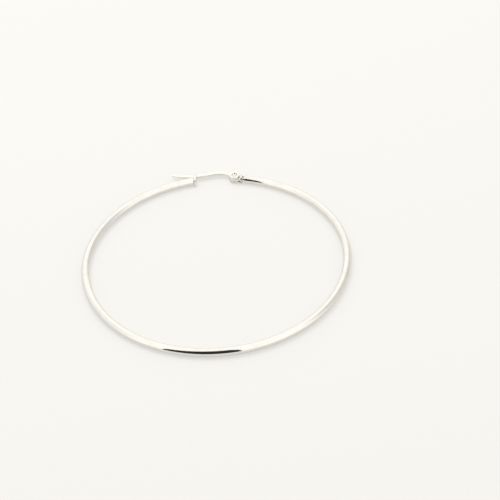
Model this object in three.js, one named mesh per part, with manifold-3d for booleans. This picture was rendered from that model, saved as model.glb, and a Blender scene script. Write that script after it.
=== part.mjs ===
// Hinged hoop earring, lying flat on its side. Millimetres, Z up, origin under the middle of its outline.
// A round hollow tube is bent into an open ring. One end carries a notched catch plate, the other a flat
// tongue. The ear wire has a forked head that is riveted over the tongue, arches across the opening, drops
// into the notch and runs on past it as a finger tip.

import * as THREE from 'three';
import { mergeVertices } from 'three/addons/utils/BufferGeometryUtils.js';
import Module from 'manifold-3d';

const wasm = await Module();
wasm.setup();

// Hoop tube
const HOOP_OUTER_DIAMETER = 63;
const TUBE_DIAMETER = 2.0;
const TUBE_WALL = 0.25;
const CLASP_OPENING = 12.2; // between the two cut ends, which are cut parallel to each other

// Clearances
const SEAT_GAP = 0.03; // between parts that are pressed together
const PLUG_CLEARANCE = 0.06; // plug to bore, enough for a straight plug in a bent tube
const RUNNING_CLEARANCE = 0.06; // between parts that turn on each other
const NOTCH_CLEARANCE = 0.1; // ear wire to notch

// Plugs that hold both end fittings in the tube
const PLUG_LENGTH = 1.5;

// Catch plate
const CATCH_THICKNESS = 0.55;
const CATCH_RISE = 1.35; // how far its prongs stand out past the tube
const CATCH_CORNER_RADIUS = 0.3;
const NOTCH_FLOOR_RISE = 0.04; // notch floor, out from the tube's surface
const NOTCH_MOUTH_FLARE = 0.1; // extra half width at the mouth

// Ear wire, round wire pressed flat: its width lies in the ring's plane
const WIRE_WIDTH = 1.2;
const WIRE_THICKNESS = 0.8;
const WIRE_CORNER_RADIUS = 0.25;
const TIP_WIDTH = 0.68;
const TIP_TAPER_LENGTH = 5;
const TIP_REACH = 5.8; // from the notch to the tip, along the opening
const TIP_LIFT = 0.92; // tip, out from the notch seat
const TIP_ANGLE = 19; // degrees that the tip turns outwards
const ARCH_RISE = 0.88; // crest, out from the notch seat
const ARCH_CREST_SHARE = 0.63; // crest's place between notch and rivet
const NOTCH_CROSSING_ANGLE = 7; // degrees that the wire climbs as it crosses the catch plate
const ROOT_WIDTH = 1.4; // where the wire meets its head
const ROOT_FLARE_LENGTH = 3;
const ROOT_ANGLE = 38; // degrees from the opening's line at which the wire meets its head
const ROOT_BACK = 0.3; // start of the wire's centre line, from the rivet towards the notch
const ROOT_OUT = 0.65; // and outwards

// Forked head of the ear wire
const HEAD_DIAMETER = 2.56;
const HEAD_HEIGHT = 1.9;
const HEAD_EDGE = 0.1; // chamfer on both rims

// Tongue and collar at the hinge end
const COLLAR_THICKNESS = 0.42;
const COLLAR_STANDOFF = 0.32; // gap between the tube's end and the collar, where the plug shows
const TONGUE_THICKNESS = 0.84;
const TONGUE_END_RADIUS = 1.0;
const TONGUE_ROOT_WIDTH = 1.5;
const HINGE_REACH = 2.2; // rivet's distance from the tube's end, along the opening
const RIVET_RISE = 0.46; // rivet's centre, out from the tube's centre line

// Rivet
const RIVET_DIAMETER = 0.9;
const RIVET_HEAD_DIAMETER = 1.4;
const RIVET_HEAD_THICKNESS = 0.3;
const RIVET_HEAD_PROUD = 0.04;
const DIMPLE_DIAMETER = 1.15;
const DIMPLE_DEPTH = 0.42;

// Facets
const TUBE_SIDES = 16;
const BORE_SIDES = 12;
const HOOP_STEPS = 120;
const WIRE_STEPS = 64;
const CORNER_SEGMENTS = 3;
const HEAD_SIDES = 32;
const RIVET_SIDES = 24;
const ARC_SEGMENTS = 6;
const DIMPLE_STEPS = 5;

// Sizes that follow from those above
const tubeRadius = TUBE_DIAMETER / 2;
const boreRadius = tubeRadius - TUBE_WALL;
const ringRadius = HOOP_OUTER_DIAMETER / 2 - tubeRadius;
const headRadius = HEAD_DIAMETER / 2;
const notchHalfWidth = WIRE_THICKNESS / 2 + NOTCH_CLEARANCE;
const notchFloor = tubeRadius + NOTCH_FLOOR_RISE;
const notchCentreRise = notchFloor + notchHalfWidth;
const seatRise = notchFloor + NOTCH_CLEARANCE + WIRE_WIDTH / 2;
const halfOpeningAngle = Math.asin(CLASP_OPENING / 2 / ringRadius);
const rivetCentre = new THREE.Vector2();
rivetCentre.x = CLASP_OPENING / 2 - HINGE_REACH;
rivetCentre.y = Math.sqrt(ringRadius ** 2 - rivetCentre.x ** 2) + RIVET_RISE;

// Finishes
const mirrorSteel = new THREE.MeshStandardMaterial({ color: 0xdcdbd8, metalness: 1, roughness: 0.08 });
const fittingSteel = new THREE.MeshStandardMaterial({ color: 0xd3d2ce, metalness: 1, roughness: 0.16 });
const wireSteel = new THREE.MeshStandardMaterial({ color: 0xd8d7d3, metalness: 1, roughness: 0.11 });

// Solids and geometry
function toSolid(geometry) {
  const bare = new THREE.BufferGeometry();
  bare.setAttribute('position', geometry.getAttribute('position'));
  bare.setIndex(geometry.index);
  const merged = mergeVertices(bare, 1e-5);
  return new wasm.Manifold(
    new wasm.Mesh({
      numProp: 3,
      vertProperties: new Float32Array(merged.attributes.position.array),
      triVerts: new Uint32Array(merged.index.array),
    }),
  );
}

function toGeometry(solid) {
  const { vertProperties, triVerts } = solid.getMesh();
  const geometry = new THREE.BufferGeometry();
  geometry.setAttribute('position', new THREE.BufferAttribute(vertProperties, 3));
  geometry.setIndex(new THREE.BufferAttribute(triVerts, 1));
  geometry.computeVertexNormals();
  return geometry;
}

function namedMesh(name, geometry, material) {
  const mesh = new THREE.Mesh(geometry, material);
  mesh.name = name;
  return mesh;
}

// Corners of a regular polygon whose flat sides touch a circle, with flats across both axes.
function flatSidedPolygon(sides, radius) {
  const cornerRadius = radius / Math.cos(Math.PI / sides);
  return Array.from({ length: sides }, (_, i) => {
    const angle = ((i + 0.5) * 2 * Math.PI) / sides;
    return new THREE.Vector2(cornerRadius * Math.cos(angle), cornerRadius * Math.sin(angle));
  });
}

// A flat shape in X and Y, given a thickness in Z that is centred on zero.
function slab(shape, thickness) {
  const geometry = new THREE.ExtrudeGeometry(shape, {
    depth: thickness,
    bevelEnabled: false,
    curveSegments: ARC_SEGMENTS,
  });
  return geometry.translate(0, 0, -thickness / 2);
}

// A polygonal rod along +X from x0 to x1.
function rodAlongX(sides, radius, x0, x1) {
  const section = new THREE.Shape(flatSidedPolygon(sides, radius));
  return slab(section, x1 - x0)
    .rotateY(Math.PI / 2)
    .translate((x0 + x1) / 2, 0, 0);
}

// A body turned about Z from a profile of radius and height, starting and ending on the axis.
function turned(profile, sides) {
  const points = profile.map(([radius, height]) => new THREE.Vector2(radius, height));
  return new THREE.LatheGeometry(points, sides).rotateX(Math.PI / 2);
}

// The tube's centre line, from side to side of the opening the long way round, and a little past its ends.
class RingArc extends THREE.Curve {
  getPoint(t, target = new THREE.Vector3()) {
    const start = (Math.PI + halfOpeningAngle) / 2;
    const angle = start + t * (2 * Math.PI - halfOpeningAngle);
    return target.set(ringRadius * Math.cos(angle), ringRadius * Math.sin(angle), 0);
  }
}

// The bent tube, with the opening cut straight through it.
function hoopTube() {
  const section = new THREE.Shape(flatSidedPolygon(TUBE_SIDES, tubeRadius));
  section.holes.push(new THREE.Path(flatSidedPolygon(BORE_SIDES, boreRadius)));
  const bent = new THREE.ExtrudeGeometry(section, { steps: HOOP_STEPS, extrudePath: new RingArc() });
  const depth = 4 * TUBE_DIAMETER;
  const opening = new THREE.BoxGeometry(CLASP_OPENING, depth, depth).translate(0, ringRadius, 0);
  return toGeometry(toSolid(bent).subtract(toSolid(opening)));
}

// A straight rod between two places along a tube end's direction, of a size to lie in the bore.
function plug(x0, x1, lean) {
  return toSolid(rodAlongX(BORE_SIDES, boreRadius - PLUG_CLEARANCE, x0, x1).rotateZ(lean));
}

// The catch plate's outline, with its prongs towards +X and its width along Y.
function catchOutline() {
  const half = tubeRadius;
  const r = CATCH_CORNER_RADIUS;
  const top = tubeRadius + CATCH_RISE;
  const mouth = notchHalfWidth + NOTCH_MOUTH_FLARE;
  const prongRadius = (half - mouth) / 2;
  const outline = new THREE.Shape();
  outline.absarc(-half + r, -half + r, r, Math.PI, 1.5 * Math.PI);
  outline.absarc(top - prongRadius, -half + prongRadius, prongRadius, -Math.PI / 2, Math.PI / 2);
  outline.absarc(notchCentreRise, 0, notchHalfWidth, 1.5 * Math.PI, Math.PI / 2, true);
  outline.absarc(top - prongRadius, half - prongRadius, prongRadius, -Math.PI / 2, Math.PI / 2);
  outline.absarc(-half + r, half - r, r, Math.PI / 2, Math.PI);
  return outline;
}

// From the middle of the tube's end: +X into the opening, +Y away from the ring's middle.
function notchCatch() {
  const middle = SEAT_GAP + CATCH_THICKNESS / 2;
  const plate = slab(catchOutline(), CATCH_THICKNESS)
    .rotateY(Math.PI / 2)
    .rotateX(Math.PI / 2)
    .translate(middle, 0, 0);
  return toGeometry(toSolid(plate).add(plug(-PLUG_LENGTH, middle, halfOpeningAngle)));
}

// The tongue's outline: from the middle of the collar to a round end about the rivet.
function tongueOutline(root, rivet) {
  const lean = Math.atan2(rivet.y - root.y, rivet.x - root.x);
  const half = TONGUE_ROOT_WIDTH / 2;
  const outline = new THREE.Shape();
  outline.moveTo(root.x, root.y + half);
  outline.absarc(rivet.x, rivet.y, TONGUE_END_RADIUS, lean - Math.PI / 2, lean + Math.PI / 2);
  outline.lineTo(root.x, root.y - half);
  return outline;
}

// From the middle of the tube's end: -X into the opening, +Y away from the ring's middle.
function hingeTongue(rivet) {
  const reach = COLLAR_STANDOFF + COLLAR_THICKNESS / 2;
  const root = new THREE.Vector2(-reach, reach * Math.tan(halfOpeningAngle));
  const collar = rodAlongX(TUBE_SIDES, tubeRadius, -COLLAR_THICKNESS / 2, COLLAR_THICKNESS / 2);
  const holeRadius = RIVET_DIAMETER / 2 + RUNNING_CLEARANCE;
  const hole = turned(rodProfile(holeRadius, TONGUE_THICKNESS, 0), RIVET_SIDES);
  return toGeometry(
    toSolid(collar.translate(root.x, root.y, 0))
      .add(plug(-reach, PLUG_LENGTH, -halfOpeningAngle))
      .add(toSolid(slab(tongueOutline(root, rivet), TONGUE_THICKNESS)))
      .subtract(toSolid(hole.translate(rivet.x, rivet.y, 0))),
  );
}

// Profile of a round rod, centred on zero, with a chamfer on both rims.
function rodProfile(radius, halfHeight, chamfer) {
  return [
    [0, -halfHeight],
    [radius - chamfer, -halfHeight],
    [radius, chamfer - halfHeight],
    [radius, halfHeight - chamfer],
    [radius - chamfer, halfHeight],
    [0, halfHeight],
  ];
}

// Points of the round hollow in a rivet head, from its rim to its floor.
function dimpleProfile(end) {
  const rim = DIMPLE_DIAMETER / 2;
  const sphere = (rim ** 2 + DIMPLE_DEPTH ** 2) / (2 * DIMPLE_DEPTH);
  return Array.from({ length: DIMPLE_STEPS + 1 }, (_, i) => {
    const radius = rim * (1 - i / DIMPLE_STEPS);
    return [radius, end - Math.sqrt(sphere ** 2 - radius ** 2) + sphere - DIMPLE_DEPTH];
  });
}

// Profile of the rivet, or of its plain seat in the fork when it is grown by a clearance.
function rivetProfile(grow, dimpled) {
  const end = HEAD_HEIGHT / 2 + RIVET_HEAD_PROUD + grow;
  const shoulder = HEAD_HEIGHT / 2 - RIVET_HEAD_THICKNESS - grow;
  const shank = RIVET_DIAMETER / 2 + grow;
  const head = RIVET_HEAD_DIAMETER / 2 + grow;
  const upper = [
    [shank, shoulder],
    [head, shoulder],
    [head, end],
    ...(dimpled ? dimpleProfile(end) : [[0, end]]),
  ];
  const lower = upper.map(([radius, height]) => [radius, -height]).reverse();
  return [...lower, ...upper];
}

// The ear wire's centre line in the ring's frame, from its head over the crest and the notch to the tip.
function wirePath(seat) {
  const root = THREE.MathUtils.degToRad(180 - ROOT_ANGLE);
  const notch = THREE.MathUtils.degToRad(180 + NOTCH_CROSSING_ANGLE);
  const tip = THREE.MathUtils.degToRad(180 - TIP_ANGLE);
  const start = new THREE.Vector2(rivetCentre.x - ROOT_BACK, rivetCentre.y + ROOT_OUT);
  const crest = new THREE.Vector2(
    THREE.MathUtils.lerp(seat.x, rivetCentre.x, ARCH_CREST_SHARE),
    seat.y + ARCH_RISE,
  );
  const end = new THREE.Vector2(seat.x - TIP_REACH, seat.y + TIP_LIFT);
  const path = new THREE.CurvePath();
  path.add(leaningCurve(start, root, crest, Math.PI));
  path.add(leaningCurve(crest, Math.PI, seat, notch));
  path.add(leaningCurve(seat, notch, end, tip));
  return path;
}

function polar(angle, length) {
  return new THREE.Vector2(length * Math.cos(angle), length * Math.sin(angle));
}

// A cubic curve that leaves its start and reaches its end along the given angles.
function leaningCurve(from, fromAngle, to, toAngle) {
  const handle = from.distanceTo(to) / 3;
  const points = [
    from,
    from.clone().add(polar(fromAngle, handle)),
    to.clone().sub(polar(toAngle, handle)),
    to,
  ];
  return new THREE.CubicBezierCurve3(...points.map(({ x, y }) => new THREE.Vector3(x, y, 0)));
}

// The ear wire's section, with its thickness along X and its width along Y.
function wireSection() {
  const r = WIRE_CORNER_RADIUS;
  const x = WIRE_THICKNESS / 2 - r;
  const y = WIRE_WIDTH / 2 - r;
  const section = new THREE.Shape();
  section.absarc(x, y, r, 0, Math.PI / 2);
  section.absarc(-x, y, r, Math.PI / 2, Math.PI);
  section.absarc(-x, -y, r, Math.PI, 1.5 * Math.PI);
  section.absarc(x, -y, r, 1.5 * Math.PI, 2 * Math.PI);
  return section;
}

// Widens a rod towards the start of its path, narrows it towards the far end, and rounds that end.
function shapeWire(geometry, path) {
  const centres = path.getSpacedPoints(WIRE_STEPS);
  const length = path.getLength();
  const stepLength = length / WIRE_STEPS;
  const position = geometry.getAttribute('position');
  const vertex = new THREE.Vector3();
  for (let i = 0; i < position.count; i += 1) {
    vertex.fromBufferAttribute(position, i);
    const distances = centres.map((centre) => centre.distanceTo(vertex));
    const nearest = distances.indexOf(Math.min(...distances));
    const toTip = length - nearest * stepLength;
    const flare = THREE.MathUtils.smoothstep(ROOT_FLARE_LENGTH - nearest * stepLength, 0, ROOT_FLARE_LENGTH);
    const taper = Math.max(1 - toTip / TIP_TAPER_LENGTH, 0);
    const narrow = THREE.MathUtils.lerp(WIRE_WIDTH, TIP_WIDTH, taper) / WIRE_WIDTH;
    const wide = THREE.MathUtils.lerp(WIRE_WIDTH, ROOT_WIDTH, flare) / WIRE_WIDTH;
    const roundness = Math.min((toTip + stepLength / 2) / (TIP_WIDTH / 2), 1);
    const share = wide * narrow * Math.sqrt(1 - (1 - roundness) ** 2);
    vertex.sub(centres[nearest]).multiplyScalar(share).add(centres[nearest]);
    position.setXYZ(i, vertex.x, vertex.y, vertex.z);
  }
  return geometry;
}

// The slot sawn across the head, open on every side but the wire's.
function forkSlot() {
  const depth = TONGUE_END_RADIUS + RUNNING_CLEARANCE;
  const outline = new THREE.Shape();
  outline.moveTo(-HEAD_DIAMETER, -HEAD_DIAMETER);
  outline.lineTo(depth, -HEAD_DIAMETER);
  outline.lineTo(depth, HEAD_DIAMETER);
  outline.lineTo(-HEAD_DIAMETER, HEAD_DIAMETER);
  return slab(outline, TONGUE_THICKNESS + 2 * RUNNING_CLEARANCE);
}

// In the ring's frame: the wire and its forked head are one piece.
function earWire(path) {
  const wire = new THREE.ExtrudeGeometry(wireSection(), {
    steps: WIRE_STEPS,
    curveSegments: CORNER_SEGMENTS,
    extrudePath: path,
  });
  const disc = turned(rodProfile(headRadius, HEAD_HEIGHT / 2, HEAD_EDGE), HEAD_SIDES);
  const rivetSeat = turned(rivetProfile(SEAT_GAP, false), RIVET_SIDES);
  const cutter = toSolid(forkSlot())
    .add(toSolid(rivetSeat))
    .rotate([0, 0, 180 - ROOT_ANGLE])
    .translate([rivetCentre.x, rivetCentre.y, 0]);
  return toGeometry(
    toSolid(disc.translate(rivetCentre.x, rivetCentre.y, 0))
      .add(toSolid(shapeWire(wire, path)))
      .subtract(cutter),
  );
}

// Assembly
const endHeight = Math.sqrt(ringRadius ** 2 - (CLASP_OPENING / 2) ** 2);
const notchFitting = namedMesh('notch_catch', notchCatch(), fittingSteel);
notchFitting.position.set(-CLASP_OPENING / 2, endHeight, 0);

const rivetFromEnd = new THREE.Vector2(rivetCentre.x - CLASP_OPENING / 2, rivetCentre.y - endHeight);
const hingeFitting = namedMesh('hinge_tongue', hingeTongue(rivetFromEnd), fittingSteel);
hingeFitting.position.set(CLASP_OPENING / 2, endHeight, 0);

const seat = new THREE.Vector2(
  SEAT_GAP + (CATCH_THICKNESS - CLASP_OPENING) / 2,
  endHeight + seatRise,
);
const path = wirePath(seat);

const rivet = namedMesh('hinge_rivet', turned(rivetProfile(0, true), RIVET_SIDES), fittingSteel);
rivet.position.set(rivetCentre.x, rivetCentre.y, 0);

const earring = new THREE.Group();
earring.add(namedMesh('hoop_tube', hoopTube(), mirrorSteel));
earring.add(notchFitting, hingeFitting, rivet);
earring.add(namedMesh('ear_wire', earWire(path), wireSteel));

// The earring lies on Z = 0 with its outline centred on the origin.
const outline = new THREE.Box3().setFromObject(earring, true);
const middle = outline.getCenter(new THREE.Vector3());
earring.position.set(-middle.x, -middle.y, -outline.min.z);

const part = new THREE.Group();
part.add(earring);

export default part;
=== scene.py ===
import math

import bpy
from mathutils import Euler, Matrix, Vector


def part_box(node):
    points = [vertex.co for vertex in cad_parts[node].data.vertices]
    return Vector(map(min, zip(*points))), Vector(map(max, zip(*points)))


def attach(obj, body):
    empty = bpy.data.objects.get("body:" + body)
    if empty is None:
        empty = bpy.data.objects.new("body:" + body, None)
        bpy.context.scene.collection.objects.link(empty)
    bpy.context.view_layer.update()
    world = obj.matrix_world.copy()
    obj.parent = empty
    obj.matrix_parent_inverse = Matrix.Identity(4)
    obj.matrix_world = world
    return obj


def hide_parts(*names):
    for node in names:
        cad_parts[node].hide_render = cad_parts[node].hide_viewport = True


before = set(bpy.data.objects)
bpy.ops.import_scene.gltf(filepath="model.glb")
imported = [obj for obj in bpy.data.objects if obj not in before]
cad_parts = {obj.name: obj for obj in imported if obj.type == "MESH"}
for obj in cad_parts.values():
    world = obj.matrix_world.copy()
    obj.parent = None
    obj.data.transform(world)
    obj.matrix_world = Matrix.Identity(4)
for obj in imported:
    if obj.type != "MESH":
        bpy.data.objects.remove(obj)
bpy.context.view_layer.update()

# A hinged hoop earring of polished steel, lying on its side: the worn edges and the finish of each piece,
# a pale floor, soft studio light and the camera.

# Meshes are shaped in millimetres about the hoop's own middle, then set down in the frame's metres.
MM = 0.001
QUARTER_TURN = math.pi / 2

# Hoop tube. All sizes of the earring are in millimetres.
TUBE_RADIUS = 1.0
BORE_RADIUS = 0.75
RING_RADIUS = 30.5
HALF_OPENING = 6.1
OUTER_RIM = 0.09  # rounding of the cut ends, outside
INNER_RIM = 0.04  # and inside
HINGE_END_SETBACK = 0.2  # how far the hinge end is filed back, which widens the groove beside the collar

# Plugs of the end fittings, and the fit of pressed parts
PLUG_RADIUS = 0.69
PLUG_LENGTH = 1.5
PLUG_RIM = 0.05
SEAT_GAP = 0.03

# Catch plate
CATCH_THICKNESS = 0.55
CATCH_RISE = 1.35  # prongs, out from the tube's surface
CATCH_CORNER = 0.3
CATCH_EASE = 0.07
NOTCH_HALF_WIDTH = 0.5
NOTCH_RISE = 1.54  # middle of the notch's round floor, out from the tube's centre line
MOUTH_FLARE = 0.1

# Ear wire, round wire pressed flat
WIRE_HALF_WIDTH = 0.6
WIRE_FLATNESS = 0.6  # thickness, as a share of the width
WIRE_CORNER = 0.2  # corner radius, as a share of the half width
SEAT_RISE = 1.74  # centre line in the notch, out from the tube's
ARCH_RISE = 0.88  # crest, out from the notch
CREST_SHARE = 0.63  # crest's place between notch and rivet
ROOT_HALF_WIDTH = 0.7
ROOT_FLARE = 3.0
ROOT_BACK = 0.3  # start of the centre line, from the rivet towards the notch
ROOT_OUT = 0.65  # and outwards
TIP_HALF_WIDTH = 0.34
TIP_TAPER = 5.0
TIP_REACH = 5.8  # tip, from the notch along the opening
TIP_LIFT = 0.92  # and outwards

# Directions of the ear wire's centre line, in degrees
ROOT_ANGLE = 142
CREST_ANGLE = 180
NOTCH_ANGLE = 187
TIP_ANGLE = 161

# Forked head of the ear wire
HEAD_RADIUS = 1.28
HEAD_HALF_HEIGHT = 0.95
HEAD_RIM = 0.1
FORK_EASE = 0.035

# Collar and tongue
COLLAR_THICKNESS = 0.42
COLLAR_STANDOFF = 0.32
COLLAR_RIM = 0.08
TONGUE_HALF_THICKNESS = 0.43
TONGUE_ROOT_HALF_WIDTH = 0.75
TONGUE_END_RADIUS = 1.0
TONGUE_HEEL_RADIUS = 1.24
TONGUE_EASE = 0.05
RUNNING_GAP = 0.03

# Where the tongue's round end stops and where its heel starts, in degrees about the rivet
TONGUE_END_STOP = 172
TONGUE_HEEL_START = 180

# Rivet
RIVET_RADIUS = 0.45
RIVET_HEAD_RADIUS = 0.7
RIVET_HEAD_THICKNESS = 0.3
RIVET_HALF_HEIGHT = 0.99
RIVET_RIM = 0.03
DIMPLE_RADIUS = 0.575
DIMPLE_DEPTH = 0.42

# Fineness of the meshes
TUBE_SIDES = 64
TUBE_STEPS = 600
BORE_STEPS = 200
RIM_STEPS = 5
PLUG_SIDES = 48
RIVET_SIDES = 64
RIVET_HOLE_SIDES = 48
HEAD_SIDES = 96
CATCH_CORNER_STEPS = 8
PRONG_STEPS = 12
ROUND_END_STEPS = 24
DIMPLE_STEPS = 12
CENTRE_LINE_STEPS = 60
WIRE_STEPS = 160
WIRE_CORNER_STEPS = 11
TIP_STEPS = 12

# The hoop's middle and the rivet's axis come from the frame.
tube_low, tube_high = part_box("hoop_tube")
rivet_low, rivet_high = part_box("hinge_rivet")
hoop_middle = Vector(
    (
        (tube_low.x + tube_high.x) / 2,
        tube_low.y + (RING_RADIUS + TUBE_RADIUS) * MM,
        (tube_low.z + tube_high.z) / 2,
    )
)
rivet_axis = ((rivet_low + rivet_high) / 2 - hoop_middle) / MM
end_height = math.sqrt(RING_RADIUS**2 - HALF_OPENING**2)
half_opening_angle = math.asin(HALF_OPENING / RING_RADIUS)


# Mesh building
def piece_from(name, points, faces):
    mesh = bpy.data.meshes.new(name)
    mesh.from_pydata([tuple(p) for p in points], [], faces)
    mesh.update()
    piece = bpy.data.objects.new(name, mesh)
    bpy.context.scene.collection.objects.link(piece)
    return piece


def settle(piece):
    """Makes a piece's modifiers part of its mesh."""
    view = bpy.context.evaluated_depsgraph_get()
    settled = bpy.data.meshes.new_from_object(piece.evaluated_get(view))
    piece.modifiers.clear()
    piece.data = settled
    return piece


def combine(piece, tool, operation):
    """Joins a tool piece to a piece, or cuts it out of the piece, and throws the tool piece away."""
    change = piece.modifiers.new(operation, "BOOLEAN")
    change.operation = operation
    change.solver = "EXACT"
    change.object = tool
    settle(piece)
    bpy.data.objects.remove(tool)
    return piece


def copy_of(piece):
    twin = piece.copy()
    twin.data = piece.data.copy()
    bpy.context.scene.collection.objects.link(twin)
    return twin


def ease_edges(piece, width, segments=3, angle=35):
    """Rounds the sharp edges, as tumbling and polishing do."""
    bevel = piece.modifiers.new("eased edges", "BEVEL")
    bevel.width = width
    bevel.segments = segments
    bevel.limit_method = "ANGLE"
    bevel.angle_limit = math.radians(angle)
    return settle(piece)


def place(piece, turn=0.0, about="Z", shift=(0, 0, 0)):
    """Turns a piece about an axis through its origin, then shifts it."""
    piece.data.transform(Matrix.Translation(shift) @ Matrix.Rotation(turn, 4, about))
    return piece


def arc_points(centre, radius, start, end, steps):
    """Points on an arc in X and Y, between two angles in degrees."""
    angles = [math.radians(start + (end - start) * k / steps) for k in range(steps + 1)]
    return [(centre[0] + radius * math.cos(a), centre[1] + radius * math.sin(a)) for a in angles]


def plate(name, outline, half_thickness):
    """A flat outline in X and Y, made solid about Z = 0."""
    count = len(outline)
    points = [(x, y, side) for side in (-half_thickness, half_thickness) for x, y in outline]
    faces = [tuple(reversed(range(count))), tuple(range(count, 2 * count))]
    faces += [(i, (i + 1) % count, count + (i + 1) % count, count + i) for i in range(count)]
    return piece_from(name, points, faces)


def turned(name, profile, sides):
    """A solid turned about Z, from pairs of radius and height that start and end on the axis."""
    points = [Vector((0, 0, profile[0][1]))]
    for radius, height in profile[1:-1]:
        for i in range(sides):
            angle = 2 * math.pi * i / sides
            points.append(Vector((radius * math.cos(angle), radius * math.sin(angle), height)))
    points.append(Vector((0, 0, profile[-1][1])))
    rows = len(profile) - 2
    faces = []
    for i in range(sides):
        j = (i + 1) % sides
        faces.append((0, 1 + j, 1 + i))
        for row in range(rows - 1):
            low, high = 1 + row * sides, 1 + (row + 1) * sides
            faces.append((low + i, low + j, high + j, high + i))
        last = 1 + (rows - 1) * sides
        faces.append((last + i, last + j, len(points) - 1))
    return piece_from(name, points, faces)


def round_rod(radius, low, high, rim, steps=4):
    """Profile of a rod with rounded rims, from its lower end to its upper one."""
    arc = [QUARTER_TURN * k / steps for k in range(steps + 1)]
    lower = [(radius - rim + rim * math.sin(a), low + rim - rim * math.cos(a)) for a in arc]
    upper = [(radius - rim + rim * math.cos(a), high - rim + rim * math.sin(a)) for a in arc]
    return [(0, low), *lower, *upper, (0, high)]


def bands(rows, around, closed=False):
    """Faces between loops of points that follow each other, and on to the first loop if closed.

    They face out where each loop runs clockwise, seen along the way.
    """
    faces = []
    for row in range(rows if closed else rows - 1):
        here, after = row * around, (row + 1) % rows * around
        for k in range(around):
            m = (k + 1) % around
            faces.append((here + k, here + m, after + m, after + k))
    return faces


def smooth(piece, angle=32):
    """Smooth shading that keeps flat faces flat and real edges crisp."""
    mesh = piece.data
    mesh.polygons.foreach_set("use_smooth", [True] * len(mesh.polygons))
    mesh.set_sharp_from_angle(angle=math.radians(angle))
    normals = piece.modifiers.new("flat faces first", "WEIGHTED_NORMAL")
    normals.keep_sharp = True
    return settle(piece)


def finish_piece(piece, body, node, metal):
    """Sets a piece down in the frame and ties it to its body, its solid and its finish."""
    piece.data.transform(Matrix.Translation(hoop_middle) @ Matrix.Scale(MM, 4))
    piece.data.materials.clear()
    piece.data.materials.append(metal)
    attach(piece, body)
    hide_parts(node)
    return piece


# Hoop tube
def tube_row(section_radius, depth, share):
    """One loop round the tube, at a share of the way from the hinge end to the catch end.

    The way starts and stops at a depth in from the straight cuts.
    """
    row = []
    for k in range(TUBE_SIDES):
        turn = 2 * math.pi * k / TUBE_SIDES
        radius = RING_RADIUS + section_radius * math.cos(turn)
        cut = math.asin(HALF_OPENING / radius)
        hinge_end = cut + (depth + HINGE_END_SETBACK) / radius
        catch_end = 2 * math.pi - cut - depth / radius
        angle = hinge_end + share * (catch_end - hinge_end)
        row.append(
            (radius * math.sin(angle), radius * math.cos(angle), section_radius * math.sin(turn))
        )
    return row


def worn_rim(radius, rim, outwards):
    """Pairs of section radius and depth, from a cut end's face round its rim to the wall."""
    arc = [QUARTER_TURN * k / RIM_STEPS for k in range(RIM_STEPS + 1)]
    face = radius - outwards * rim
    return [(face + outwards * rim * math.sin(a), rim - rim * math.cos(a)) for a in arc]


def hoop_tube():
    """The bent tube as one closed skin: outside wall, both cut ends with worn rims, and the bore."""
    outer = worn_rim(TUBE_RADIUS, OUTER_RIM, 1)
    inner = worn_rim(BORE_RADIUS, INNER_RIM, -1)
    rows = [tube_row(radius, depth, 0) for radius, depth in outer]
    rows += [tube_row(TUBE_RADIUS, OUTER_RIM, k / TUBE_STEPS) for k in range(1, TUBE_STEPS)]
    rows += [tube_row(radius, depth, 1) for radius, depth in reversed(outer)]
    rows += [tube_row(radius, depth, 1) for radius, depth in inner]
    rows += [tube_row(BORE_RADIUS, INNER_RIM, 1 - k / BORE_STEPS) for k in range(1, BORE_STEPS)]
    rows += [tube_row(radius, depth, 0) for radius, depth in reversed(inner)]
    points = [point for row in rows for point in row]
    return piece_from("polished_hoop_tube", points, bands(len(rows), TUBE_SIDES, closed=True))


# Fittings at the two ends
def plug(low, high, lean):
    """A rod along X that leans with the tube's end."""
    rod = turned("plug", round_rod(PLUG_RADIUS, low, high, PLUG_RIM), PLUG_SIDES)
    place(rod, QUARTER_TURN, "Y")
    return place(rod, lean)


def catch_plate():
    """The upright plate with a notch between two round prongs, and its plug."""
    top = TUBE_RADIUS + CATCH_RISE
    prong = (TUBE_RADIUS - (NOTCH_HALF_WIDTH + MOUTH_FLARE)) / 2
    low = -TUBE_RADIUS + CATCH_CORNER
    outline = [
        *arc_points((low, low), CATCH_CORNER, 180, 270, CATCH_CORNER_STEPS),
        *arc_points((top - prong, -TUBE_RADIUS + prong), prong, -90, 90, PRONG_STEPS),
        *arc_points((NOTCH_RISE, 0), NOTCH_HALF_WIDTH, 270, 90, ROUND_END_STEPS),
        *arc_points((top - prong, TUBE_RADIUS - prong), prong, -90, 90, PRONG_STEPS),
        *arc_points((low, -low), CATCH_CORNER, 90, 180, CATCH_CORNER_STEPS),
    ]
    piece = plate("notched_catch_plate", outline, CATCH_THICKNESS / 2)
    ease_edges(piece, CATCH_EASE)
    place(piece, QUARTER_TURN, "Y")
    place(piece, QUARTER_TURN, "X")
    middle = SEAT_GAP + CATCH_THICKNESS / 2
    place(piece, shift=(middle, 0, 0))
    combine(piece, plug(-PLUG_LENGTH, middle, half_opening_angle), "UNION")
    return place(piece, shift=(-HALF_OPENING, end_height, 0))


def rivet_hole(rivet):
    """A rod that cuts the rivet's hole through the tongue."""
    radius, through = RIVET_RADIUS + RUNNING_GAP, 2 * TONGUE_HALF_THICKNESS
    profile = [(0, -through), (radius, -through), (radius, through), (0, through)]
    return place(turned("hole", profile, RIVET_HOLE_SIDES), shift=(rivet.x, rivet.y, 0))


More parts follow.
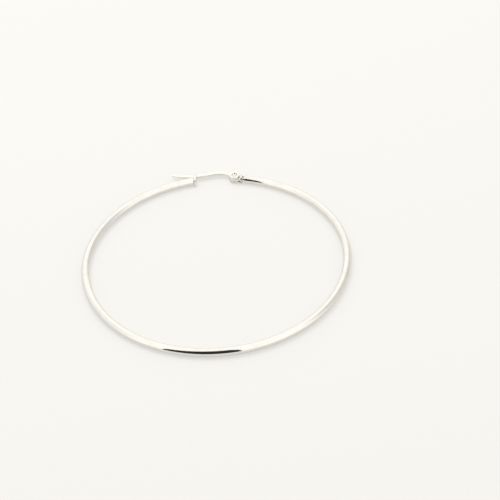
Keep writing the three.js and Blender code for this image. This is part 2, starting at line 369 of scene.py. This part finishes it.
def hinge_tongue():
    """The round collar with its plug on one side and the drilled tongue on the other."""
    half = COLLAR_THICKNESS / 2
    reach = COLLAR_STANDOFF + half
    root = Vector((-reach, reach * math.tan(half_opening_angle)))
    rivet = Vector((rivet_axis.x - HALF_OPENING, rivet_axis.y - end_height))
    lean = math.degrees(math.atan2(rivet.y - root.y, rivet.x - root.x))
    outline = [
        (root.x, root.y + TONGUE_ROOT_HALF_WIDTH),
        *arc_points(rivet, TONGUE_END_RADIUS, lean - 90, TONGUE_END_STOP, ROUND_END_STEPS),
        *arc_points(rivet, TONGUE_HEEL_RADIUS, TONGUE_HEEL_START, lean + 90, ROUND_END_STEPS),
        (root.x, root.y - TONGUE_ROOT_HALF_WIDTH),
    ]
    tongue = plate("tongue", outline, TONGUE_HALF_THICKNESS)
    ease_edges(tongue, TONGUE_EASE)
    combine(tongue, rivet_hole(rivet), "DIFFERENCE")
    collar = round_rod(TUBE_RADIUS, -half, half, COLLAR_RIM)
    piece = turned("hinge_collar_and_tongue", collar, TUBE_SIDES)
    place(piece, QUARTER_TURN, "Y", (root.x, root.y, 0))
    combine(piece, plug(-reach, PLUG_LENGTH, -half_opening_angle), "UNION")
    combine(piece, tongue, "UNION")
    return place(piece, shift=(HALF_OPENING, end_height, 0))


# Rivet
def dimple(end):
    """Profile of the round hollow that the riveting punch leaves, from its rim to its floor."""
    sphere = (DIMPLE_RADIUS**2 + DIMPLE_DEPTH**2) / (2 * DIMPLE_DEPTH)
    radii = [DIMPLE_RADIUS * (1 - k / DIMPLE_STEPS) for k in range(DIMPLE_STEPS + 1)]
    return [(r, end - math.sqrt(sphere**2 - r**2) + sphere - DIMPLE_DEPTH) for r in radii]


def rivet_profile(grow, dimpled):
    """Profile of the pin and its two heads, grown all round for the seats that are cut for them."""
    end = RIVET_HALF_HEIGHT + grow
    shoulder = HEAD_HALF_HEIGHT - RIVET_HEAD_THICKNESS - grow
    head = RIVET_HEAD_RADIUS + grow
    rim = RIVET_RIM if dimpled else 0.0
    upper = [
        (RIVET_RADIUS + grow, shoulder),
        (head, shoulder),
        (head, end - rim),
        (head - rim, end),
        *(dimple(end) if dimpled else [(0, end)]),
    ]
    lower = [(radius, -height) for radius, height in reversed(upper)]
    return [*lower, *upper]


def rivet():
    piece = turned("punched_rivet", rivet_profile(0, True), RIVET_SIDES)
    return place(piece, shift=(rivet_axis.x, rivet_axis.y, 0))


# Ear wire
def heading(angle):
    return Vector((math.cos(math.radians(angle)), math.sin(math.radians(angle)), 0))


def leaning_curve(start, start_angle, end, end_angle):
    """Points of a cubic curve that leaves its start and reaches its end along the given angles."""
    handle = (end - start).length / 3
    a, b = start + heading(start_angle) * handle, end - heading(end_angle) * handle
    points = []
    for k in range(CENTRE_LINE_STEPS + 1):
        t = k / CENTRE_LINE_STEPS
        weights = ((1 - t) ** 3, 3 * t * (1 - t) ** 2, 3 * t**2 * (1 - t), t**3)
        points.append(start * weights[0] + a * weights[1] + b * weights[2] + end * weights[3])
    return points


def wire_centre_line():
    """From inside the head over the crest and through the notch to the finger tip."""
    seat = Vector((SEAT_GAP + CATCH_THICKNESS / 2 - HALF_OPENING, end_height + SEAT_RISE, 0))
    start = Vector((rivet_axis.x - ROOT_BACK, rivet_axis.y + ROOT_OUT, 0))
    crest = Vector((seat.x + CREST_SHARE * (rivet_axis.x - seat.x), seat.y + ARCH_RISE, 0))
    tip = seat + Vector((-TIP_REACH, TIP_LIFT, 0))
    arch = leaning_curve(start, ROOT_ANGLE, crest, CREST_ANGLE)
    drop = leaning_curve(crest, CREST_ANGLE, seat, NOTCH_ANGLE)
    finger = leaning_curve(seat, NOTCH_ANGLE, tip, TIP_ANGLE)
    return arch + drop[1:] + finger[1:]


def wire_half_width(from_root, to_tip):
    """Half the wire's width: it flares into its head, tapers along the finger and ends round."""
    flare = max(1 - from_root / ROOT_FLARE, 0)
    flare = flare * flare * (3 - 2 * flare)
    taper = max(1 - to_tip / TIP_TAPER, 0)
    half = WIRE_HALF_WIDTH + (ROOT_HALF_WIDTH - WIRE_HALF_WIDTH) * flare
    half += (TIP_HALF_WIDTH - WIRE_HALF_WIDTH) * taper
    if to_tip < TIP_HALF_WIDTH:
        half *= math.sqrt(max(1 - (1 - to_tip / TIP_HALF_WIDTH) ** 2, 0))
    return half


def flattened_outline():
    """Outline of round wire that was pressed flat, for a half width of one: flats and small corners."""
    outline = []
    for quarter, (side, level) in enumerate(((1, 1), (-1, 1), (-1, -1), (1, -1))):
        corner = (side * (1 - WIRE_CORNER), level * (WIRE_FLATNESS - WIRE_CORNER))
        start = 90 * quarter
        outline += arc_points(corner, WIRE_CORNER, start, start + 90, WIRE_CORNER_STEPS)
    return outline


def swept_wire(name):
    """The wire as one closed skin, with its section square to the centre line."""
    outline = flattened_outline()
    around = len(outline)
    line = wire_centre_line()
    lengths = [0.0]
    for before, after in zip(line, line[1:]):
        lengths.append(lengths[-1] + (after - before).length)
    total = lengths[-1]

    def at(distance):
        i = next((n for n, s in enumerate(lengths) if s >= distance), len(lengths) - 1)
        i = max(i, 1)
        share = (distance - lengths[i - 1]) / (lengths[i] - lengths[i - 1])
        return line[i - 1].lerp(line[i], share), (line[i] - line[i - 1]).normalized()

    stations = [(total - TIP_HALF_WIDTH) * k / WIRE_STEPS for k in range(WIRE_STEPS + 1)]
    stations += [
        total - TIP_HALF_WIDTH * (1 - math.sin(QUARTER_TURN * k / TIP_STEPS))
        for k in range(1, TIP_STEPS)
    ]
    points = []
    for distance in stations:
        centre, along = at(distance)
        across = Vector((-along.y, along.x, 0))
        half = wire_half_width(distance, total - distance)
        for out, up in outline:
            points.append(centre + across * half * out + Vector((0, 0, half * up)))
    points.append(at(total)[0])
    last = (len(stations) - 1) * around
    root_face = [tuple(reversed(range(around)))]
    tip_faces = [(last + k, last + (k + 1) % around, len(points) - 1) for k in range(around)]
    return piece_from(name, points, root_face + bands(len(stations), around) + tip_faces)


def fork_cutter():
    """The slot sawn across the head, and the seats of the rivet."""
    half = TONGUE_HALF_THICKNESS + RUNNING_GAP
    floor_at = TONGUE_END_RADIUS + RUNNING_GAP
    far = 3 * HEAD_RADIUS
    cutter = plate("slot", [(-far, -far), (floor_at, -far), (floor_at, far), (-far, far)], half)
    seat = turned("rivet seat", rivet_profile(SEAT_GAP, False), RIVET_SIDES)
    combine(cutter, seat, "UNION")
    return place(cutter, math.radians(ROOT_ANGLE), "Z", (rivet_axis.x, rivet_axis.y, 0))


def ear_wire():
    """The wire and its round forked head, as one piece of metal."""
    head_profile = round_rod(HEAD_RADIUS, -HEAD_HALF_HEIGHT, HEAD_HALF_HEIGHT, HEAD_RIM, RIM_STEPS)
    head = turned("head", head_profile, HEAD_SIDES)
    place(head, shift=(rivet_axis.x, rivet_axis.y, 0))
    piece = swept_wire("ear_wire_with_forked_head")
    cutter = fork_cutter()
    combine(head, copy_of(cutter), "DIFFERENCE")
    combine(piece, cutter, "DIFFERENCE")
    ease_edges(head, FORK_EASE, segments=2, angle=50)
    return combine(piece, head, "UNION")


# Node building
def feed(tree, socket, value):
    """Gives a socket another node's output or a plain value."""
    if isinstance(value, bpy.types.NodeSocket):
        tree.links.new(value, socket)
    else:
        socket.default_value = value


def add_node(tree, kind, inputs=(), **settings):
    """Adds a node with its settings, and feeds its inputs, given as pairs of name and value."""
    node = tree.nodes.new("ShaderNode" + kind)
    for setting, value in settings.items():
        setattr(node, setting, value)
    for name, value in dict(inputs).items():
        feed(tree, node.inputs[name], value)
    return node


def number_from(tree, operation, first, second):
    """A number worked out from two numbers."""
    return add_node(tree, "Math", {0: first, 1: second}, operation=operation).outputs["Value"]


def vector_from(tree, operation, first, second):
    """A vector worked out from two vectors."""
    node = add_node(tree, "VectorMath", {0: first, 1: second}, operation=operation)
    return node.outputs["Vector"]


def scaled(tree, vector, scale):
    node = add_node(tree, "VectorMath", {0: vector, "Scale": scale}, operation="SCALE")
    return node.outputs["Vector"]


def measured(tree, operation, *vectors):
    """A number worked out from vectors, such as a length or a distance."""
    node = add_node(tree, "VectorMath", dict(enumerate(vectors)), operation=operation)
    return node.outputs["Value"]


def ramp(tree, value, start, end, first=0.0, last=1.0, blend="LINEAR"):
    """A number that goes from first to last while the value goes from start to end."""
    limits = {"From Min": start, "From Max": end, "To Min": first, "To Max": last}
    node = add_node(tree, "MapRange", {"Value": value, **limits}, interpolation_type=blend)
    return node.outputs["Result"]


def mixed(tree, kind, share, first, second):
    """A colour or number between two others."""
    node = add_node(tree, "Mix", {"Factor": share, "A": first, "B": second}, data_type=kind)
    return node.outputs["Result"]


def noise(tree, place_at, scale, detail):
    texture = add_node(tree, "TexNoise", {"Scale": scale, "Detail": detail, "Vector": place_at})
    return texture.outputs["Fac"]


def relief(tree, height, depth, strength=1.0):
    """Normals of a surface that rises and falls with a height. The depth is metres for a height of one."""
    node = add_node(tree, "Bump", {"Strength": strength, "Distance": depth, "Height": height})
    return node.outputs["Normal"]


# Shared finish: fine polishing lines, dull patches, pits and slow waves of a polished metal surface
MARK_INPUTS = (
    ("Place", "Vector"),
    ("Line Stretch", "Vector"),
    ("Clean Colour", "Color"),
    ("Dull Colour", "Color"),
    ("Polished Roughness", "Float"),
    ("Dull Roughness", "Float"),
    ("Line Depth", "Float"),
    ("Wave Depth", "Float"),
)
MARK_OUTPUTS = (("Colour", "Color"), ("Roughness", "Float"), ("Height", "Float"))

# Noise of each kind of mark: its scale for a place in millimetres, and its detail
LINE_NOISE = (1.0, 4.0)
WAVE_NOISE = (0.22, 1.0)
PATCH_NOISE = (0.6, 3.0)
PIT_NOISE = (7.0, 2.0)

DULL_START, DULL_END = 0.42, 0.72  # patch noise at which the metal starts to dull, and is fully dull
DULL_BASE = 0.4  # dullness of a dull patch between its lines
DULL_LINES = 0.8  # and what its lines add
PIT_SHARE = 0.3  # depth of the pits, as a share of the lines'


def polish_marks():
    group = bpy.data.node_groups.new("polish_marks", "ShaderNodeTree")
    for name, kind in MARK_INPUTS:
        group.interface.new_socket(name, in_out="INPUT", socket_type="NodeSocket" + kind)
    for name, kind in MARK_OUTPUTS:
        group.interface.new_socket(name, in_out="OUTPUT", socket_type="NodeSocket" + kind)
    given = group.nodes.new("NodeGroupInput").outputs
    result = group.nodes.new("NodeGroupOutput").inputs

    stretched = vector_from(group, "MULTIPLY", given["Place"], given["Line Stretch"])
    lines = noise(group, stretched, *LINE_NOISE)
    waves = noise(group, given["Place"], *WAVE_NOISE)
    patches = noise(group, given["Place"], *PATCH_NOISE)
    pits = noise(group, given["Place"], *PIT_NOISE)

    dull = ramp(group, patches, DULL_START, DULL_END, blend="SMOOTHSTEP")
    streaky = number_from(group, "ADD", number_from(group, "MULTIPLY", lines, DULL_LINES), DULL_BASE)
    worn = number_from(group, "MULTIPLY", dull, streaky)
    colour = mixed(group, "RGBA", worn, given["Clean Colour"], given["Dull Colour"])
    rough = mixed(group, "FLOAT", worn, given["Polished Roughness"], given["Dull Roughness"])

    fine = number_from(group, "ADD", lines, number_from(group, "MULTIPLY", pits, PIT_SHARE))
    fine = number_from(group, "MULTIPLY", fine, given["Line Depth"])
    slow = number_from(group, "MULTIPLY", waves, given["Wave Depth"])
    feed(group, result["Colour"], colour)
    feed(group, result["Roughness"], rough)
    feed(group, result["Height"], number_from(group, "ADD", fine, slow))
    return group


MARKS = polish_marks()


def place_in_mm(tree):
    """The place on the piece, in millimetres from the hoop's middle."""
    where = add_node(tree, "TexCoord").outputs["Object"]
    return scaled(tree, vector_from(tree, "SUBTRACT", where, hoop_middle), 1 / MM)


def place_along_hoop(tree, place_at):
    """The same place as the way along the hoop, the distance from its middle, and the height."""
    apart = add_node(tree, "SeparateXYZ", {"Vector": place_at}).outputs
    radius = measured(tree, "LENGTH", vector_from(tree, "MULTIPLY", place_at, (1, 1, 0)))
    below = number_from(tree, "MULTIPLY", apart["Y"], -1)
    angle = number_from(tree, "ARCTAN2", apart["X"], below)
    along = number_from(tree, "MULTIPLY", angle, RING_RADIUS)
    joined = add_node(tree, "CombineXYZ", {"X": along, "Y": radius, "Z": apart["Z"]})
    return joined.outputs["Vector"]


def polished_metal(name, clean, dull, roughness, stretch, line_depth, wave_depth, ringed=False):
    """Bare polished steel. Depths of its marks are millimetres; ringed runs the lines along the hoop."""
    metal = bpy.data.materials.new(name)
    metal.use_nodes = True
    tree = metal.node_tree
    shader = tree.nodes["Principled BSDF"]
    shader.inputs["Metallic"].default_value = 1.0
    where = place_in_mm(tree)
    if ringed:
        where = place_along_hoop(tree, where)
    given = {
        "Place": where,
        "Line Stretch": stretch,
        "Clean Colour": (*clean, 1),
        "Dull Colour": (*dull, 1),
        "Polished Roughness": roughness[0],
        "Dull Roughness": roughness[1],
        "Line Depth": line_depth,
        "Wave Depth": wave_depth,
    }
    marks = add_node(tree, "Group", given, node_tree=MARKS, name="marks")
    feed(tree, shader.inputs["Base Color"], marks.outputs["Colour"])
    feed(tree, shader.inputs["Roughness"], marks.outputs["Roughness"])
    feed(tree, shader.inputs["Normal"], relief(tree, marks.outputs["Height"], MM))
    return metal


def paint_recess_shade(metal, recesses, softness, share):
    """Paints shade into each recess: darkens the metal there to a share of its brightness, with a soft
    edge.

    A recess is a middle, in millimetres from the hoop's, and a radius.
    """
    tree = metal.node_tree
    marks = tree.nodes["marks"]
    where = marks.inputs["Place"].links[0].from_socket
    colour = marks.outputs["Colour"]
    for middle, radius in recesses:
        distance = measured(tree, "DISTANCE", where, middle)
        colour = scaled(tree, colour, ramp(tree, distance, radius, radius + softness, first=share))
    feed(tree, tree.nodes["Principled BSDF"].inputs["Base Color"], colour)
    return metal


LIGHT_STEEL = (0.78, 0.765, 0.73)
STEEL = (0.76, 0.745, 0.71)
DULL_STEEL = (0.68, 0.665, 0.625)
FITTING_FINISH = {
    "clean": STEEL,
    "dull": DULL_STEEL,
    "roughness": (0.10, 0.2),
    "stretch": (6.0, 2.5, 6.0),
    "line_depth": 0.0012,
    "wave_depth": 0.004,
}

# Painted shade: the groove between the tube and the collar, and the corner of tongue and collar on the
# inside below
HINGE_RECESSES = [((6.0, end_height + 0.4, 0.4), 0.5), ((5.2, end_height - 0.6, -0.5), 0.4)]

tube_steel = polished_metal(
    "mirror_polished_tube_steel",
    clean=STEEL,
    dull=(0.715, 0.70, 0.66),
    roughness=(0.05, 0.12),
    stretch=(0.5, 9.0, 9.0),
    line_depth=0.0006,
    wave_depth=0.006,
    ringed=True,
)
wire_steel = polished_metal(
    "drawn_ear_wire_steel",
    clean=LIGHT_STEEL,
    dull=(0.73, 0.715, 0.675),
    roughness=(0.07, 0.15),
    stretch=(0.6, 10.0, 10.0),
    line_depth=0.0007,
    wave_depth=0.004,
)
rivet_steel = polished_metal(
    "punched_rivet_steel",
    clean=LIGHT_STEEL,
    dull=DULL_STEEL,
    roughness=(0.12, 0.24),
    stretch=(5.0, 5.0, 5.0),
    line_depth=0.0015,
    wave_depth=0.004,
)
fitting_steel = polished_metal("tumbled_fitting_steel", **FITTING_FINISH)
hinge_steel = polished_metal("hinge_steel_with_painted_recess_shade", **FITTING_FINISH)
# Painted shade in the hinge's recesses, down to a fifth of the metal's brightness
paint_recess_shade(hinge_steel, HINGE_RECESSES, softness=0.3, share=0.2)

finish_piece(smooth(hoop_tube()), "hoop", "hoop_tube", tube_steel)
finish_piece(smooth(catch_plate()), "hoop", "notch_catch", fitting_steel)
finish_piece(smooth(hinge_tongue()), "hoop", "hinge_tongue", hinge_steel)
finish_piece(smooth(rivet()), "wire", "hinge_rivet", rivet_steel)
finish_piece(smooth(ear_wire()), "wire", "ear_wire", wire_steel)

# Floor of pale matt paper, in metres. Its own glow keeps the earring's shadow on it faint.
WARM_WHITE = (1.0, 0.985, 0.955)
FLOOR_HALF_WIDTH = 2.5
PAPER_TONES = ((0.231, 0.228, 0.220), (0.238, 0.235, 0.227))
PAPER_GLOW = 0.597
PAPER_GRAIN_NOISE = (1400, 3)
PAPER_GRAIN_DEPTH = 0.0001


def pale_floor():
    half = FLOOR_HALF_WIDTH
    corners = [(-half, -half, 0), (half, -half, 0), (half, half, 0), (-half, half, 0)]
    floor = piece_from("pale_floor", corners, [(0, 1, 2, 3)])
    paper = bpy.data.materials.new("pale_matt_paper")
    paper.use_nodes = True
    tree = paper.node_tree
    shader = tree.nodes["Principled BSDF"]
    shader.inputs["Roughness"].default_value = 0.9
    shader.inputs["Specular IOR Level"].default_value = 0.1
    shader.inputs["Emission Color"].default_value = (*WARM_WHITE, 1)
    shader.inputs["Emission Strength"].default_value = PAPER_GLOW
    place_at = add_node(tree, "TexCoord").outputs["Object"]
    grain = noise(tree, place_at, *PAPER_GRAIN_NOISE)
    first, second = [(*tone, 1) for tone in PAPER_TONES]
    feed(tree, shader.inputs["Base Color"], mixed(tree, "RGBA", grain, first, second))
    feed(tree, shader.inputs["Normal"], relief(tree, grain, PAPER_GRAIN_DEPTH, strength=0.15))
    floor.data.materials.append(paper)


pale_floor()

# Camera, at the photograph's place and angle: metres, degrees, and its lens in millimetres
CAMERA_PLACE = (0.026895, -0.320605, 0.281762)
CAMERA_AZIMUTH = 3.3699
CAMERA_ELEVATION = 40.9309
CAMERA_ROLL = -4.5860
CAMERA_LENS = 131.93
CAMERA_SENSOR = 36


def studio_camera():
    data = bpy.data.cameras.new("camera")
    data.sensor_width = CAMERA_SENSOR
    data.lens = CAMERA_LENS
    data.clip_start = 0.01
    data.clip_end = 20
    camera = bpy.data.objects.new("camera", data)
    bpy.context.scene.collection.objects.link(camera)
    tilt = math.radians(90 - CAMERA_ELEVATION)
    upright = Euler((tilt, 0, math.radians(CAMERA_AZIMUTH))).to_matrix()
    camera.matrix_world = (
        Matrix.Translation(CAMERA_PLACE)
        @ upright.to_4x4()
        @ Matrix.Rotation(math.radians(CAMERA_ROLL), 4, "Z")
    )
    return camera


bpy.context.scene.camera = studio_camera()

# Light: a pale dome that is dimmer at the sides and low down, a large soft lamp from behind and above,
# and a dark card behind the camera. The lamp lights the floor and shows in no reflection.
SOFTBOX_PLACE = (-0.13, 0.18, 0.56)
SOFTBOX_SIZE = 0.4
SOFTBOX_POWER = 1.85
SOFTBOX_COLOUR = (1.0, 0.985, 0.96)


def overhead_softbox():
    lamp = bpy.data.lights.new("overhead_softbox", "AREA")
    lamp.shape = "SQUARE"
    lamp.size = SOFTBOX_SIZE
    lamp.energy = SOFTBOX_POWER
    lamp.color = SOFTBOX_COLOUR
    softbox = bpy.data.objects.new("overhead_softbox", lamp)
    softbox.location = SOFTBOX_PLACE
    softbox.rotation_euler = (-Vector(SOFTBOX_PLACE)).to_track_quat("-Z", "Y").to_euler()
    softbox.visible_glossy = False
    bpy.context.scene.collection.objects.link(softbox)


# Outline of the dark card as seen from the hoop: degrees to the right of the camera, and above the floor.
# It is cut straight up at both sides, and its upper left corner is cut off in steps.
DARK_CARD_OUTLINE = [
    (-44, 4),
    (-46, 42),
    (-41, 58),
    (-33, 72),
    (-26, 83),
    (12, 83),
    (12, 62),
    (14, 42),
    (13, 4),
]
DARK_CARD_AIM = (-16, 40)
DARK_CARD_DISTANCE = 0.6
DARK_CARD_COLOUR = (0.02, 0.02, 0.02)
CARD_FADE = (70, 90)  # degrees above the floor between which the card turns nearly as pale as the dome
CARD_TOP_GLOW = 1.2


def seen_from_hoop(azimuth, elevation):
    a, e = math.radians(azimuth + CAMERA_AZIMUTH), math.radians(elevation)
    return Vector((math.sin(a) * math.cos(e), -math.cos(a) * math.cos(e), math.sin(e)))


def dark_card():
    """It hangs behind the camera, square to its aim, and shows only as a dark streak in the metal."""
    aim = seen_from_hoop(*DARK_CARD_AIM)
    corners = []
    for azimuth, elevation in DARK_CARD_OUTLINE:
        towards = seen_from_hoop(azimuth, elevation)
        corners.append(towards * (DARK_CARD_DISTANCE / towards.dot(aim)))
    card = piece_from("dark_card", corners, [tuple(range(len(corners)))])
    black = bpy.data.materials.new("black_card")
    black.use_nodes = True
    tree = black.node_tree
    shader = tree.nodes["Principled BSDF"]
    shader.inputs["Base Color"].default_value = (*DARK_CARD_COLOUR, 1)
    shader.inputs["Roughness"].default_value = 1.0
    shader.inputs["Emission Strength"].default_value = 1.0
    place_at = add_node(tree, "TexCoord").outputs["Object"]
    towards = add_node(tree, "VectorMath", {0: place_at}, operation="NORMALIZE").outputs["Vector"]
    height = add_node(tree, "SeparateXYZ", {"Vector": towards}).outputs["Z"]
    start, end = [math.sin(math.radians(elevation)) for elevation in CARD_FADE]
    feed(tree, shader.inputs["Emission Color"], ramp(tree, height, start, end, last=CARD_TOP_GLOW))
    card.data.materials.append(black)
    card.visible_camera = False


DOME_STRENGTH = 1.34

# Dim patches of the dome: degrees to the right of the camera and above the floor, share of the light
# that is left, and the degrees from the middle at which the patch ends and at which it is dimmest.
# The last one is centred straight down, so it is a band that ends 17 degrees above the horizon.
DIM_PATCHES = [
    (116, 25, 0.66, 40, 16),
    (-112, 22, 0.87, 42, 15),
    (0, -90, 0.83, 107, 92),
]


def pale_studio():
    """Even pale light, with a broad dim patch at the right, a fainter one at the left and a band below."""
    world = bpy.data.worlds.new("pale_studio")
    bpy.context.scene.world = world
    world.use_nodes = True
    tree = world.node_tree
    background = tree.nodes["Background"]
    background.inputs["Color"].default_value = (*WARM_WHITE, 1)
    direction = add_node(tree, "TexCoord").outputs["Generated"]
    strength = DOME_STRENGTH
    for azimuth, elevation, share, edge, core in DIM_PATCHES:
        towards = measured(tree, "DOT_PRODUCT", direction, seen_from_hoop(azimuth, elevation))
        start, end = math.cos(math.radians(edge)), math.cos(math.radians(core))
        patch = ramp(tree, towards, start, end, first=1.0, last=share, blend="SMOOTHSTEP")
        strength = number_from(tree, "MULTIPLY", strength, patch)
    feed(tree, background.inputs["Strength"], strength)


overhead_softbox()
dark_card()
pale_studio()

bpy.context.scene.view_settings.view_transform = "Standard"
bpy.context.scene.view_settings.look = "None"
